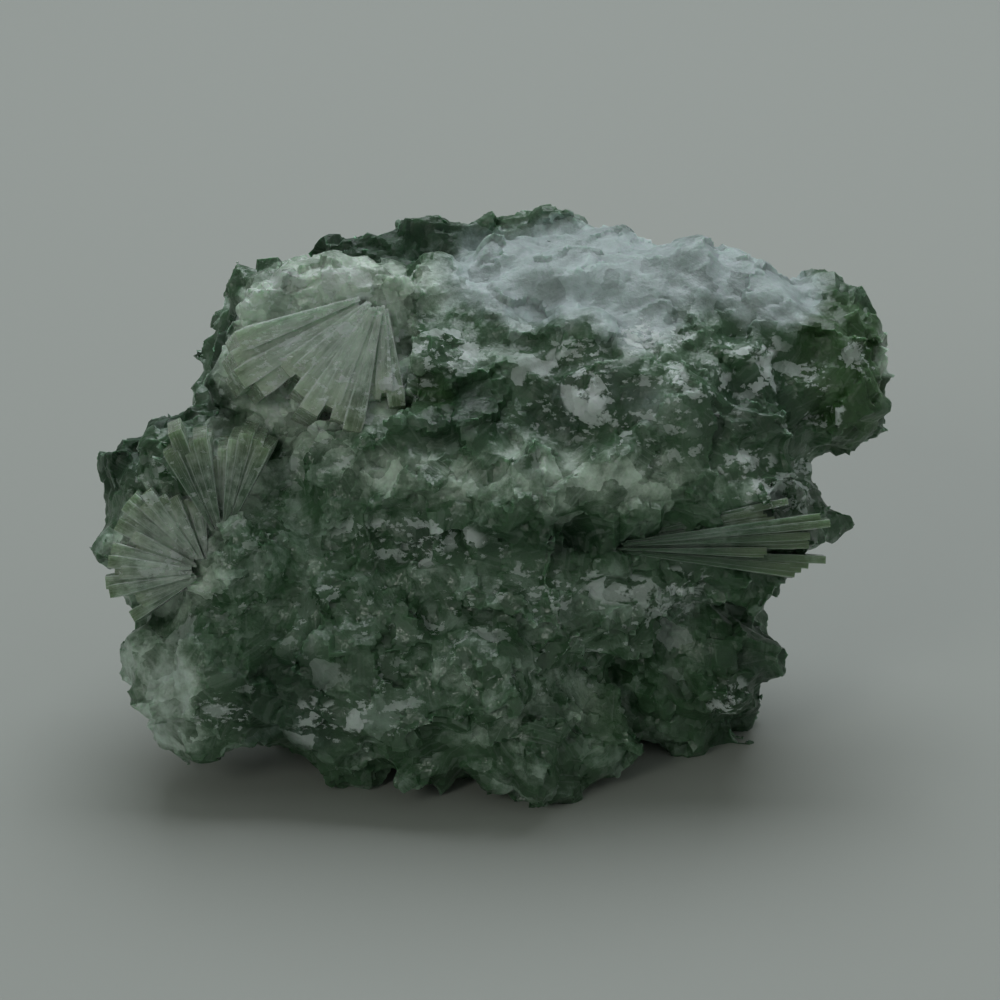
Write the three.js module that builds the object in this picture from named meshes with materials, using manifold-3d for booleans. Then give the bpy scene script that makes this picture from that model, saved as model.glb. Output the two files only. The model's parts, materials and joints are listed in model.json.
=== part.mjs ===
// Raw prehnite: one intergrown lump of green crystals about 50 mm across. Fans of thick crystal
// blades and square blocks stand out of a knobbly, cleaved mass. Millimetres, +Z up. The origin is
// the middle of the flat spot that the lump rests on, +X is its long way and -Y is its front.
import * as THREE from "three";
import { mergeVertices } from "three/addons/utils/BufferGeometryUtils.js";
import Module from "manifold-3d";

// Features are placed as seen by somebody who stands in front of the lump and looks down on it
// a little: across to the right, up, and toward the viewer, from a point in the lump's middle.
const LOOK_DOWN_DEG = 22;
const EYE_LEVEL = 16.9;

// The underside is ground flat at this height by a block of this size.
const FLOOR = 0;
const CUTTER = 200;

// Multiples of these two fractions spread over 0 to 1 evenly and never repeat.
const GOLDEN = 0.61803398875;
const SILVER = 0.41421356237;

// The body bulges out of its heart as far as these lumps reach: where each is centred, and its half
// sizes. What lies side by side runs into one another over about the blend length.
const HEART = [-1, 0, -3];
const LUMPS = [
  { name: "middle", at: [-1.5, 0.5, -3.5], half: [17, 12, 9.5] },
  { name: "waist", at: [-3, -5, -0.5], half: [16, 5.6, 6.4] },
  { name: "upper right", at: [8.5, 4.8, -1.5], half: [11, 7.6, 7.2] },
  { name: "white cap", at: [8, 11, -5.5], half: [12.4, 5.8, 7.6] },
  { name: "right shoulder", at: [16.6, 8.6, -4.5], half: [5.4, 6, 6] },
  { name: "knob", at: [21.4, 8.1, -3.5], half: [3.3, 5.2, 5] },
  { name: "upper plate", at: [-9.6, 12, -2.2], half: [6.6, 2.9, 5.4] },
  { name: "left shoulder", at: [-13, 8.4, -3], half: [5.2, 5.8, 6] },
  { name: "left mass", at: [-17, -2.6, -1.5], half: [7, 8, 7] },
  { name: "left foot", at: [-17.8, -10.4, 0.6], half: [4.4, 5.2, 6] },
  { name: "lower mass", at: [-6.5, -10.3, 0], half: [12.6, 6, 7] },
  { name: "front tip", at: [2, -14, 0.4], half: [4, 4.4, 4] },
  { name: "lower right", at: [11.8, -11.2, -6.5], half: [4.8, 5.4, 6.2] },
  { name: "right belly", at: [12, 1.4, -0.6], half: [7.6, 5.4, 6.8] },
  { name: "right ledge", at: [13.6, -2.2, 0.4], half: [6.4, 2.6, 4.8] },
  { name: "middle shelf", at: [2.6, 0.9, 3.6], half: [12.8, 3, 4.6] },
  { name: "back", at: [1, 2, -9], half: [16, 9.6, 6.6] },
  { name: "back left", at: [-13, 3.4, -7.5], half: [7.6, 7.6, 6.4] },
  { name: "foot", at: [-1, -12.6, -7.5], half: [12, 6, 7] },
];
const BLEND = 0.45;

// The body's mesh is a sphere with this many cuts to an edge, whose points are shared out as over a
// ball of these half sizes, so that they lie about as close at the ends as in the middle.
const BODY_DETAIL = 12;
const BODY_HALF = [24, 15, 13];

// Knobs all over the lumps: round growths, spread evenly, of half sizes between these two, with
// their middles sunk below the skin. The longest is longer than it is wide by the last share.
const KNOBS = 110;
const KNOB_HALF = [1.9, 3.1];
const KNOB_SUNK = 1.5;
const KNOB_LONGER = 0.5;

// Relief of the body: flat cells, each at its own height and slope, as a broken crystal mass has.
const RELIEF = [
  { cell: 7, step: 1.4, slope: 0.16 },
  { cell: 3.4, step: 0.8, slope: 0.24 },
];

// Blocks, square crystals: where each is centred, its half sizes, and its turn in the plane of view.
// Each is a row of slabs across its width, which differ in height and depth by up to this share.
const BLOCKS = [
  { name: "left step low", at: [-22.9, 0.4, -3.6], half: [2.1, 2.9, 2.6], turn: 6 },
  { name: "left step middle", at: [-21, 1.6, -4.4], half: [2.9, 3.1, 3], turn: 3 },
  { name: "left step high", at: [-20.4, 3.4, -5.4], half: [2, 2.8, 2.8], turn: -2 },
  { name: "top step low", at: [-8.6, 14.8, -8.2], half: [2.9, 2.4, 2.6], turn: 2 },
  { name: "top step middle", at: [-5.8, 15.3, -8.8], half: [3.4, 2.5, 2.4], turn: -3 },
  { name: "top step high", at: [-2.6, 16.3, -9.4], half: [3.8, 2.4, 2.6], turn: 4 },
  { name: "top ridge", at: [4, 16.4, -9.4], half: [3.8, 2.6, 2.6], turn: -5 },
  { name: "low right corner", at: [13.6, -9.6, -6.4], half: [3, 3.6, 3.4], turn: -4 },
];
const SLABS = 3;
const SLAB_SPREAD = 0.24;

// Fans of blades. A fan opens about its apex from one direction to another, counted in degrees from
// "across" towards "up". Its reach runs from the first blade's length to the last one's, rise tips
// the blades toward the viewer, and lean tips the whole fan back until, at 90, it lies like a shelf.
const FANS = [
  { name: "pale fan", apex: [-7.2, 12.8, 1.8], open: [209, 268], reach: [11, 9.8],
    blades: 4, thick: 4.4, rise: 14 },
  { name: "upper plate", apex: [-2, 13, -0.6], open: [178, 186], reach: [14.8, 15],
    blades: 2, thick: 4.4, rise: 8 },
  { name: "left fan", apex: [-17.8, -4.4, 3.4], open: [106, 202], reach: [6.8, 7],
    blades: 6, thick: 4.4, rise: 4 },
  { name: "upright fan", apex: [-17, -2.6, 3], open: [74, 110], reach: [8, 8.6],
    blades: 3, thick: 4.4, rise: 12 },
  { name: "under fan", apex: [-11, -1.6, 2], open: [40, 84], reach: [8.2, 8.6],
    blades: 3, thick: 4.4, rise: 14 },
  { name: "right ledge", apex: [4.8, -2.9, 2.8], open: [-5, 10], reach: [15.6, 17],
    blades: 4, thick: 5.6, rise: 2 },
  { name: "white skirt", apex: [10, 16.4, -4.2], open: [232, 300], reach: [9.4, 8.8],
    blades: 5, thick: 3.4, rise: 38 },
  { name: "centre fan", apex: [10.4, 9.6, 4.6], open: [204, 256], reach: [8.4, 6.8],
    blades: 4, thick: 3.2, rise: 8 },
  { name: "right slope", apex: [11.6, 7, 3], open: [-60, -28], reach: [7, 8.4],
    blades: 3, thick: 4, rise: 4 },
  { name: "shelf", apex: [2.4, 2.6, -4], open: [-152, -28], reach: [13.4, 13.4],
    blades: 9, thick: 3.2, rise: 0, lean: 80 },
  { name: "low shelf", apex: [1, -6, -4.6], open: [-140, -30], reach: [12.6, 12.2],
    blades: 7, thick: 3, rise: 0, lean: 74 },
  { name: "tip fan", apex: [-1.4, -9.6, 2.8], open: [-86, -36], reach: [9.6, 9.2],
    blades: 4, thick: 3.6, rise: -10 },
  { name: "lower fan", apex: [-10.4, -8, 3.6], open: [240, 292], reach: [9, 8.8],
    blades: 4, thick: 4, rise: -10 },
  { name: "left low fan", apex: [-17, -9, 3], open: [196, 252], reach: [6.6, 7.6],
    blades: 4, thick: 4, rise: -6 },
  { name: "knob plates", apex: [19.2, 8.8, -1.4], open: [-44, 34], reach: [5.4, 5.2],
    blades: 4, thick: 4.2, rise: -6 },
];

// Fans at the back and the underside, set evenly round the heart and sunk in the skin. The last of
// them stands this share of the way round to the front.
const SPRAYS = 12;
const SPRAY = { open: [-30, 30], reach: [8.2, 7.6], blades: 4, thick: 3.2, rise: 0 };
const SPRAY_SUNK = 6;
const SPRAY_ROUND = 0.8;

// A blade narrows to this share at the apex and overlaps its neighbours by this factor. Its tip is
// stepped, and blades differ in length and level by these shares.
const ROOT_SHARE = 0.2;
const BLADE_OVERLAP = 1.15;
const NOTCH_SHARE = 0.16;
const LENGTH_SPREAD = 0.14;
const LAYER_SPREAD = 0.16;

const radians = THREE.MathUtils.degToRad;
const fract = (x) => x - Math.floor(x);
const vector = (list) => new THREE.Vector3(...list);

// The frame of a viewer in front of the lump: across, up and toward, from its middle.
function viewFrame() {
  const e = radians(LOOK_DOWN_DEG);
  const across = new THREE.Vector3(1, 0, 0);
  const toward = new THREE.Vector3(0, -Math.cos(e), Math.sin(e));
  const up = toward.clone().cross(across);
  return new THREE.Matrix4().makeBasis(across, up, toward).setPosition(0, 0, EYE_LEVEL);
}

// Direction number i of n, spread evenly over a sphere.
function sphereDirection(i, n) {
  const z = 1 - (2 * i + 1) / n;
  const a = 2 * Math.PI * i * GOLDEN;
  const r = Math.sqrt(1 - z * z);
  return new THREE.Vector3(r * Math.cos(a), r * Math.sin(a), z);
}

// A repeatable number from 0 to 1 for a lattice corner.
function hash(i, j, k, salt) {
  return fract(Math.sin(i * 127.1 + j * 311.7 + k * 74.7 + salt * 19.19) * 43758.5453);
}

// Height of the flat cell that a point falls in: each cell has its own level and slope.
function cellRelief(p, { cell, step, slope }) {
  const scaled = p.clone().divideScalar(cell);
  const corner = scaled.clone().floor();
  const offset = new THREE.Vector3();
  let nearest = Infinity;
  let relief = 0;
  for (let n = 0; n < 27; n++) {
    const i = corner.x + (n % 3) - 1;
    const j = corner.y + (Math.floor(n / 3) % 3) - 1;
    const k = corner.z + Math.floor(n / 9) - 1;
    offset.set(i + hash(i, j, k, 1), j + hash(i, j, k, 2), k + hash(i, j, k, 3)).sub(scaled);
    if (offset.lengthSq() > nearest) continue;
    nearest = offset.lengthSq();
    const tilt = vector([4, 5, 6].map((salt) => hash(i, j, k, salt) - 0.5));
    relief = step * (hash(i, j, k, 7) - 0.5) - 2 * slope * cell * offset.dot(tilt);
  }
  return relief;
}

// How far blended lumps reach from the heart in a direction. Each adds its far crossing.
function lumpReach(direction, lumps) {
  let sum = 0;
  for (const { at, half } of lumps) {
    const d = direction.clone().divide(vector(half));
    const o = vector(HEART).sub(vector(at)).divide(vector(half));
    const a = d.dot(d);
    const b = o.dot(d);
    const inside = b * b - a * (o.dot(o) - 1);
    if (inside > 0) sum += Math.exp((Math.sqrt(inside) - b) / a / BLEND);
  }
  return BLEND * Math.log(sum);
}

// Knob number i: as deep as wide, and a little longer one way.
function knob(i) {
  const direction = sphereDirection(i, KNOBS);
  const reach = lumpReach(direction, LUMPS) - KNOB_SUNK;
  const half = THREE.MathUtils.lerp(...KNOB_HALF, fract(i * SILVER));
  const long = half * (1 + KNOB_LONGER * fract(i * GOLDEN));
  return { at: direction.multiplyScalar(reach).add(vector(HEART)).toArray(), half: [long, half, half] };
}

// The body is a sphere about the heart, drawn out to the lumps and knobs and broken into cells.
function bodyGeometry() {
  const lumps = [...LUMPS, ...Array.from({ length: KNOBS }, (_, i) => knob(i))];
  const g = new THREE.IcosahedronGeometry(1, BODY_DETAIL);
  const position = g.getAttribute("position");
  for (let i = 0; i < position.count; i++) {
    const direction = new THREE.Vector3().fromBufferAttribute(position, i);
    direction.multiply(vector(BODY_HALF)).normalize();
    const p = direction.clone().multiplyScalar(lumpReach(direction, lumps)).add(vector(HEART));
    const relief = RELIEF.reduce((height, size) => height + cellRelief(p, size), 0);
    p.addScaledVector(direction, relief);
    position.setXYZ(i, p.x, p.y, p.z);
  }
  return g;
}

// The frame of a spray that grows out of the skin at a point: +X is outward.
function growthFrame(point, outward, spin) {
  const x = outward.clone().normalize();
  const side = new THREE.Vector3(0, 0, 1).cross(x).normalize().applyAxisAngle(x, spin);
  return new THREE.Matrix4().makeBasis(x, side, x.clone().cross(side)).setPosition(point);
}

// The slabs of a block, which stand on one level below.
function blockGeometries({ at, half, turn }, index) {
  const slabs = [];
  for (let i = 0; i < SLABS; i++) {
    const [width, height, depth] = half.map((h) => 2 * h);
    const lower = height * SLAB_SPREAD * fract(i * GOLDEN + index * SILVER);
    const shallower = depth * SLAB_SPREAD * fract(i * SILVER + index * GOLDEN);
    const wide = (width / SLABS) * BLADE_OVERLAP;
    const slab = new THREE.BoxGeometry(wide, height - lower, depth - shallower);
    slab.translate((width / SLABS) * (i - (SLABS - 1) / 2), -lower / 2, 0);
    slabs.push(slab.rotateZ(radians(turn)).rotateY(radians(2 * turn)).translate(...at));
  }
  return slabs;
}

// One blade of a fan, lying along +X from near the apex, widening to a stepped square end.
function bladeGeometry(reach, halfTip, thick, notch) {
  const root = reach * ROOT_SHARE;
  const halfRoot = halfTip * ROOT_SHARE;
  const shoulder = reach * (1 - NOTCH_SHARE * notch);
  const notchSide = halfTip * (notch - 0.5);
  const outline = new THREE.Shape([
    new THREE.Vector2(root, -halfRoot),
    new THREE.Vector2(shoulder, -halfTip),
    new THREE.Vector2(shoulder, notchSide),
    new THREE.Vector2(reach, notchSide),
    new THREE.Vector2(reach, halfTip),
    new THREE.Vector2(root, halfRoot),
  ]);
  const g = new THREE.ExtrudeGeometry(outline, { depth: thick, bevelEnabled: false });
  return g.translate(0, 0, -thick / 2);
}

// The blades of a fan whose apex is the origin, each turned about it and set at its own level.
function bladeGeometries(fan, seed) {
  const [first, last] = fan.open.map(radians);
  const spacing = (last - first) / (fan.blades - 1);
  const blades = [];
  for (let i = 0; i < fan.blades; i++) {
    const pick = fract(i * GOLDEN + seed * SILVER);
    const layer = fract(i * SILVER + seed * GOLDEN);
    const longest = THREE.MathUtils.lerp(...fan.reach, i / (fan.blades - 1));
    const reach = longest * (1 - LENGTH_SPREAD * pick);
    const halfTip = reach * Math.tan((Math.abs(spacing) / 2) * BLADE_OVERLAP);
    const blade = bladeGeometry(reach, halfTip, fan.thick, pick);
    blade.translate(0, 0, fan.thick * LAYER_SPREAD * (layer - 0.5));
    blade.rotateY(-radians(fan.rise)).rotateZ(first + spacing * i);
    blades.push(blade.rotateX(-radians(fan.lean ?? 0)));
  }
  return blades;
}

// The fans at the back and the underside, each a rosette with its tips showing.
function sprayGeometries() {
  const sprays = [];
  for (let i = 0; i < SPRAYS; i++) {
    const direction = sphereDirection(i, (2 * SPRAYS) / SPRAY_ROUND).multiply(vector([1, 1, -1]));
    const reach = lumpReach(direction, LUMPS) - SPRAY_SUNK;
    const point = direction.clone().multiplyScalar(reach).add(vector(HEART));
    const frame = growthFrame(point, direction, 2 * Math.PI * fract(i * SILVER));
    bladeGeometries(SPRAY, i).forEach((blade) => sprays.push(blade.applyMatrix4(frame)));
  }
  return sprays;
}

const wasm = await Module();
wasm.setup();

function solidOf(geometry) {
  geometry.deleteAttribute("normal");
  geometry.deleteAttribute("uv");
  const merged = mergeVertices(geometry, 1e-4);
  return new wasm.Manifold(
    new wasm.Mesh({
      numProp: 3,
      vertProperties: new Float32Array(merged.getAttribute("position").array),
      triVerts: new Uint32Array(merged.index.array),
    }),
  );
}

function geometryOf(solid) {
  const mesh = solid.getMesh();
  const g = new THREE.BufferGeometry();
  g.setAttribute("position", new THREE.BufferAttribute(new Float32Array(mesh.vertProperties), 3));
  g.setIndex(new THREE.BufferAttribute(new Uint32Array(mesh.triVerts), 1));
  g.computeVertexNormals();
  return g;
}

// Everything grown together, stood up from the viewer's frame, ground flat below, with any crumb
// that the grinding or a hollow cuts loose left out.
function stoneGeometry() {
  const bodies = [
    bodyGeometry(),
    ...BLOCKS.flatMap(blockGeometries),
    ...FANS.flatMap((fan, i) => bladeGeometries(fan, i).map((blade) => blade.translate(...fan.apex))),
    ...sprayGeometries(),
  ];
  const front = viewFrame();
  const grown = bodies.map((g) => solidOf(g.applyMatrix4(front))).reduce((all, body) => all.add(body));
  const ground = new THREE.BoxGeometry(CUTTER, CUTTER, CUTTER).translate(0, 0, FLOOR - CUTTER / 2);
  const pieces = grown.subtract(solidOf(ground)).decompose();
  return geometryOf(pieces.reduce((best, piece) => (piece.volume() > best.volume() ? piece : best)));
}

const stone = new THREE.Mesh(
  stoneGeometry(),
  new THREE.MeshStandardMaterial({ color: 0x6f8a72, roughness: 0.4, metalness: 0, flatShading: true }),
);
stone.name = "prehnite";

const prehnite = new THREE.Group();
prehnite.add(stone);

export default prehnite;
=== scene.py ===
# %% [markdown]
# # Raw prehnite, dressed for a photograph
# Prehnite is a green mineral that grows in fans and rosettes of thick, square-ended blades. This lump
# is one intergrown mass: a knobbly, cleaved body with fans of paler crystal standing out of it, and
# white chalky crusts where the crystals are broken. It could be sculpted by hand, scanned, or grown
# by rule. It is grown by rule here, because a rule gives the same lump every time and because the
# plain solid that it dresses was made by the same rule. The solid is loaded first, as a fixed frame.

import json
import math

import bmesh
import bpy
import numpy as np
from mathutils import Matrix, Vector

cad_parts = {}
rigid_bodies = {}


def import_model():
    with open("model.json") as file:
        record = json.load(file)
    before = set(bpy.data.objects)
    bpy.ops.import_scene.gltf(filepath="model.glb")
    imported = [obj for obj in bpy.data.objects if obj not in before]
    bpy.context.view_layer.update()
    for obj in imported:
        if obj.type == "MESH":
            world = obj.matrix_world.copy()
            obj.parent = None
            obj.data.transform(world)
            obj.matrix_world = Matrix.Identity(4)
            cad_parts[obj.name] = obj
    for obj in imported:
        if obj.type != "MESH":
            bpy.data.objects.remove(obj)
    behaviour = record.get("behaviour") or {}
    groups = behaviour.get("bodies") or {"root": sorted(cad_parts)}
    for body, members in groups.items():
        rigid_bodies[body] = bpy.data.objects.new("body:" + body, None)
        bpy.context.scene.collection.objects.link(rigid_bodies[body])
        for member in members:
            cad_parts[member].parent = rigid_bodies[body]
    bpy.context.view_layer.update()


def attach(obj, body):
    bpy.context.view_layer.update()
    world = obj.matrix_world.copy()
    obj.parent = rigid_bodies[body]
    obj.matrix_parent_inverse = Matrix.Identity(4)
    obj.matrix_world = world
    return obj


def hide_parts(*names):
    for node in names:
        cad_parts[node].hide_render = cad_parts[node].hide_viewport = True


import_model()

# %% [markdown]
# ## Three small tools
# Colours are written as a painter's hex values, as they look on a screen, so one function turns them
# to the linear values that light is added up in. Nodes are added by one function that sets a node's
# properties and fills or links its inputs, and a mesh becomes an object by another.

# %% Colours, nodes and objects
MM = 0.001


def linear(hex_code, alpha=1.0):
    """A screen colour such as "8fa08c" as linear red, green, blue and alpha."""
    parts = [int(hex_code[i : i + 2], 16) / 255 for i in (0, 2, 4)]
    return [p / 12.92 if p <= 0.04045 else ((p + 0.055) / 1.055) ** 2.4 for p in parts] + [alpha]


def add_node(tree, kind, inputs=None, **settings):
    """Adds a node, sets its properties, and fills or links its inputs, named or numbered."""
    made = tree.nodes.new(kind)
    for name, value in settings.items():
        setattr(made, name, value)
    for key, value in (inputs or {}).items():
        if isinstance(value, bpy.types.Node):
            tree.links.new(value.outputs[0], made.inputs[key])
        elif isinstance(value, bpy.types.NodeSocket):
            tree.links.new(value, made.inputs[key])
        else:
            made.inputs[key].default_value = value
    return made


def add_object(name, mesh):
    """A mesh as an object of the scene, at the origin."""
    made = bpy.data.objects.new(name, mesh)
    bpy.context.scene.collection.objects.link(made)
    return made


print("one millimetre is", MM, "of a scene unit")

# %% [markdown]
# ## The camera
# The lump is seen from about 22 degrees above, from a hand's length and a half away, with a long
# lens, so its far side is nearly as large as its near side. A camera can be placed by eye or worked
# out. It is worked out here: it looks at the middle of the lump, and its lens is as long as makes one
# millimetre there 16 pixels wide in a square picture of 1000.

# %% Camera
LOOK_DOWN = math.radians(22)
EYE_LEVEL = 16.9
EYE_DISTANCE = 260
PICTURE_SIDE = 1000
PIXELS_PER_MM = 16
FILM_WIDTH = 36
NEAREST_SEEN = 10

eye = bpy.data.objects.new("camera", bpy.data.cameras.new("camera"))
eye.data.sensor_width = FILM_WIDTH
eye.data.lens = FILM_WIDTH * EYE_DISTANCE * PIXELS_PER_MM / PICTURE_SIDE
eye.data.clip_start = MM * NEAREST_SEEN
eye.location = (
    0,
    -MM * EYE_DISTANCE * math.cos(LOOK_DOWN),
    MM * (EYE_LEVEL + EYE_DISTANCE * math.sin(LOOK_DOWN)),
)
eye.rotation_euler = (math.pi / 2 - LOOK_DOWN, 0, 0)
bpy.context.scene.collection.objects.link(eye)
bpy.context.scene.camera = eye
print("lens length in mm:", round(eye.data.lens, 1))

# %% [markdown]
# ## The light and the floor
# The real light is soft and comes from overhead and a little behind, so the top of the lump is the
# brightest and its front falls into a green shade. A lamp, the sky or a softbox could give that. A
# big square softbox above and behind and an even grey sky are used, because a softbox also shows as a
# pale shine on every crystal face that tips toward it. A small, weak one stands in front: the smaller
# a light is, the sharper are its glints. The floor is plain, so that only the stone draws the eye.

# %% Light and floor
FLOOR_SIDE = 3.0
FLOOR_COLOUR = "b0b3ac"
FLOOR_ROUGHNESS = 0.75
SKY = "cfd6d4"
SKY_STRENGTH = 0.30
SOFTBOXES = [
    # name, where it stands in metres, its side in metres, its power in watts, its colour
    ("overhead softbox", (0.02, 0.22, 0.46), 0.42, 1.45, "f2f8ff"),
    ("front softbox", (-0.30, -0.52, 0.34), 0.16, 0.42, "fbfff6"),
]
# The glow in the stone is slow to trace, so a pixel may stop while a little noise is left in it.
NOISE_ALLOWED = 0.5
BOUNCES = 5

lit_spot = Vector((0, 0, MM * EYE_LEVEL))
for name, place, side, power, colour in SOFTBOXES:
    lamp = bpy.data.objects.new(name, bpy.data.lights.new(name, "AREA"))
    lamp.data.size = side
    lamp.data.energy = power
    lamp.data.color = linear(colour)[:3]
    lamp.location = place
    lamp.rotation_euler = (lit_spot - Vector(place)).to_track_quat("-Z", "Y").to_euler()
    bpy.context.scene.collection.objects.link(lamp)

sky = bpy.data.worlds.new("studio")
sky.use_nodes = True
sky.node_tree.nodes["Background"].inputs["Color"].default_value = linear(SKY)
sky.node_tree.nodes["Background"].inputs["Strength"].default_value = SKY_STRENGTH
bpy.context.scene.world = sky

floor_mesh = bpy.data.meshes.new("floor")
half_floor = FLOOR_SIDE / 2
corners = [(x * half_floor, y * half_floor, 0) for x, y in ((-1, -1), (1, -1), (1, 1), (-1, 1))]
floor_mesh.from_pydata(corners, [], [(0, 1, 2, 3)])
floor = add_object("floor", floor_mesh)
# Board with a brushed coat of matt paint. It gives the eye an even, pale grey with no shine.
floor_finish = bpy.data.materials.new("pale_painted_board")
floor_finish.use_nodes = True
floor_skin = floor_finish.node_tree.nodes["Principled BSDF"]
floor_skin.inputs["Base Color"].default_value = linear(FLOOR_COLOUR)
floor_skin.inputs["Roughness"].default_value = FLOOR_ROUGHNESS
floor_mesh.materials.append(floor_finish)
bpy.context.scene.view_settings.view_transform = "Standard"
bpy.context.scene.cycles.adaptive_threshold = NOISE_ALLOWED
bpy.context.scene.cycles.max_bounces = BOUNCES
print("softboxes:", len(SOFTBOXES), "floor side in m:", FLOOR_SIDE)

# %% [markdown]
# ## Places as the eye sees them
# Every feature is placed by how far it is across to the right, how far up, and how far toward the
# viewer from the middle of the lump, in millimetres. A picture is read in the same way, so a place
# can be checked against it at once. One matrix turns these places into the scene's own.

# %% The viewer's frame
TOWARD = Vector((0, -math.cos(LOOK_DOWN), math.sin(LOOK_DOWN)))
ACROSS = Vector((1, 0, 0))
UP = TOWARD.cross(ACROSS)
VIEW_TURN = Matrix((ACROSS, UP, TOWARD)).transposed()
GOLDEN = 0.61803398875
SILVER = 0.41421356237


def to_scene(places):
    """Rows of across, up and toward in millimetres as points of the scene in metres."""
    return MM * (np.asarray(places) @ np.array(VIEW_TURN).T + [0, 0, EYE_LEVEL])


def to_view(points):
    """Points of the scene in metres as rows of across, up and toward in millimetres."""
    return (np.asarray(points) / MM - [0, 0, EYE_LEVEL]) @ np.array(VIEW_TURN)


def fract(x):
    """The part of a number after its point, which scatters the multiples of GOLDEN evenly."""
    return x - np.floor(x)


print("the middle of the lump is at", np.round(to_scene([[0, 0, 0]]), 4).tolist())

# %% [markdown]
# ## The body
# The real body is a mass of crystals that grew into one another and broke along flat cleavage planes.
# It could be made by metaballs, by a voxel remesh of many lumps, or as one skin drawn out from the
# middle. The last is used: each point of a ball is pushed out from the lump's heart until it meets
# the skin of the lumps that lie in its direction. It gives one closed skin with no hidden faces, which
# the soft light inside the stone needs, and it is the rule that the plain solid follows too.

# %% Lumps and knobs of the body
HEART = np.array([-1.0, 0.0, -3.0])
LUMPS = [
    # where each lump is centred and its half sizes: across, up and toward in mm
    ((-1.5, 0.5, -3.5), (17, 12, 9.5)),  # middle
    ((-3, -5, -0.5), (16, 5.6, 6.4)),  # waist
    ((8.5, 4.8, -1.5), (11, 7.6, 7.2)),  # upper right
    ((8, 11, -5.5), (12.4, 5.8, 7.6)),  # white cap
    ((16.6, 8.6, -4.5), (5.4, 6, 6)),  # right shoulder
    ((21.4, 8.1, -3.5), (3.3, 5.2, 5)),  # knob
    ((-9.6, 12, -2.2), (6.6, 2.9, 5.4)),  # upper plate
    ((-13, 8.4, -3), (5.2, 5.8, 6)),  # left shoulder
    ((-17, -2.6, -1.5), (7, 8, 7)),  # left mass
    ((-17.8, -10.4, 0.6), (4.4, 5.2, 6)),  # left foot
    ((-6.5, -10.3, 0), (12.6, 6, 7)),  # lower mass
    ((2, -14, 0.4), (4, 4.4, 4)),  # front tip
    ((11.8, -11.2, -6.5), (4.8, 5.4, 6.2)),  # lower right
    ((12, 1.4, -0.6), (7.6, 5.4, 6.8)),  # right belly
    ((13.6, -2.2, 0.4), (6.4, 2.6, 4.8)),  # right ledge
    ((2.6, 0.9, 3.6), (12.8, 3, 4.6)),  # middle shelf
    ((1, 2, -9), (16, 9.6, 6.6)),  # back
    ((-13, 3.4, -7.5), (7.6, 7.6, 6.4)),  # back left
    ((-1, -12.6, -7.5), (12, 6, 7)),  # foot
]
BLEND = 0.45
KNOBS = 110
KNOB_HALF = (1.9, 3.1)
KNOB_SUNK = 1.5
KNOB_LONGER = 0.5


def even_directions(numbers, count):
    """Directions spread evenly over a ball: the ones with these numbers out of so many."""
    z = 1 - (2 * numbers + 1) / count
    turn = 2 * np.pi * numbers * GOLDEN
    ring = np.sqrt(1 - z * z)
    return np.stack([ring * np.cos(turn), ring * np.sin(turn), z], axis=1)


def lump_reach(directions, lumps):
    """How far blended lumps reach from the heart in each direction, in mm."""
    total = np.zeros(len(directions))
    for middle, half in lumps:
        d = directions / half
        o = (HEART - middle) / half
        a = (d * d).sum(1)
        b = d @ o
        inside = b * b - a * (o @ o - 1)
        crossing = (np.sqrt(np.maximum(inside, 0)) - b) / a
        total += np.where(inside > 0, np.exp(crossing / BLEND), 0)
    return BLEND * np.log(total)


knob_numbers = np.arange(KNOBS)
knob_ways = even_directions(knob_numbers, KNOBS)
knob_middles = HEART + knob_ways * (lump_reach(knob_ways, LUMPS) - KNOB_SUNK)[:, None]
knob_halves = KNOB_HALF[0] + (KNOB_HALF[1] - KNOB_HALF[0]) * fract(knob_numbers * SILVER)
knob_longs = knob_halves * (1 + KNOB_LONGER * fract(knob_numbers * GOLDEN))
growths = LUMPS + [
    (middle, (long, half, half)) for middle, long, half in zip(knob_middles, knob_longs, knob_halves)
]
print("lumps and knobs:", len(growths))

# %% [markdown]
# ## Cleavage relief
# Broken prehnite is covered with small flat faces, each at its own height and slope. Noise gives
# rolling hills and a sculptor's brush takes hours. Cells give flat faces at once: space is parted
# into cells round scattered seeds, and each cell lifts and tilts what lies in it. Two sizes of cell
# shape the lump, as in the plain solid, and two finer ones give it the grain that shows close up.

# %% Flat cells of four sizes
BROAD_CELLS = [
    # cell size, difference in height and steepness, in mm
    (7.0, 1.4, 0.16),
    (3.4, 0.8, 0.24),
]
FINE_CELLS = [
    (2.6, 0.30, 0.24),
    (1.3, 0.13, 0.20),
]


def lattice_number(i, j, k, salt):
    """A repeatable number from 0 to 1 for each lattice corner."""
    return fract(np.sin(i * 127.1 + j * 311.7 + k * 74.7 + salt * 19.19) * 43758.5453)


def cell_relief(points, cell, step, slope):
    """Height of the flat cell that each point falls in."""
    scaled = points / cell
    corner = np.floor(scaled)
    nearest = np.full(len(points), np.inf)
    relief = np.zeros(len(points))
    for n in range(27):
        i, j, k = (corner + [n % 3 - 1, n // 3 % 3 - 1, n // 9 - 1]).T
        seed = np.stack([q + lattice_number(i, j, k, s) for q, s in ((i, 1), (j, 2), (k, 3))], axis=1)
        tilt = np.stack([lattice_number(i, j, k, s) for s in (4, 5, 6)], axis=1) - 0.5
        offset = seed - scaled
        distance = (offset * offset).sum(1)
        height = step * (lattice_number(i, j, k, 7) - 0.5) - 2 * slope * cell * (offset * tilt).sum(1)
        closer = distance <= nearest
        nearest = np.where(closer, distance, nearest)
        relief = np.where(closer, height, relief)
    return relief


print("relief cells in mm:", [cell for cell, _, _ in BROAD_CELLS + FINE_CELLS])

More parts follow.
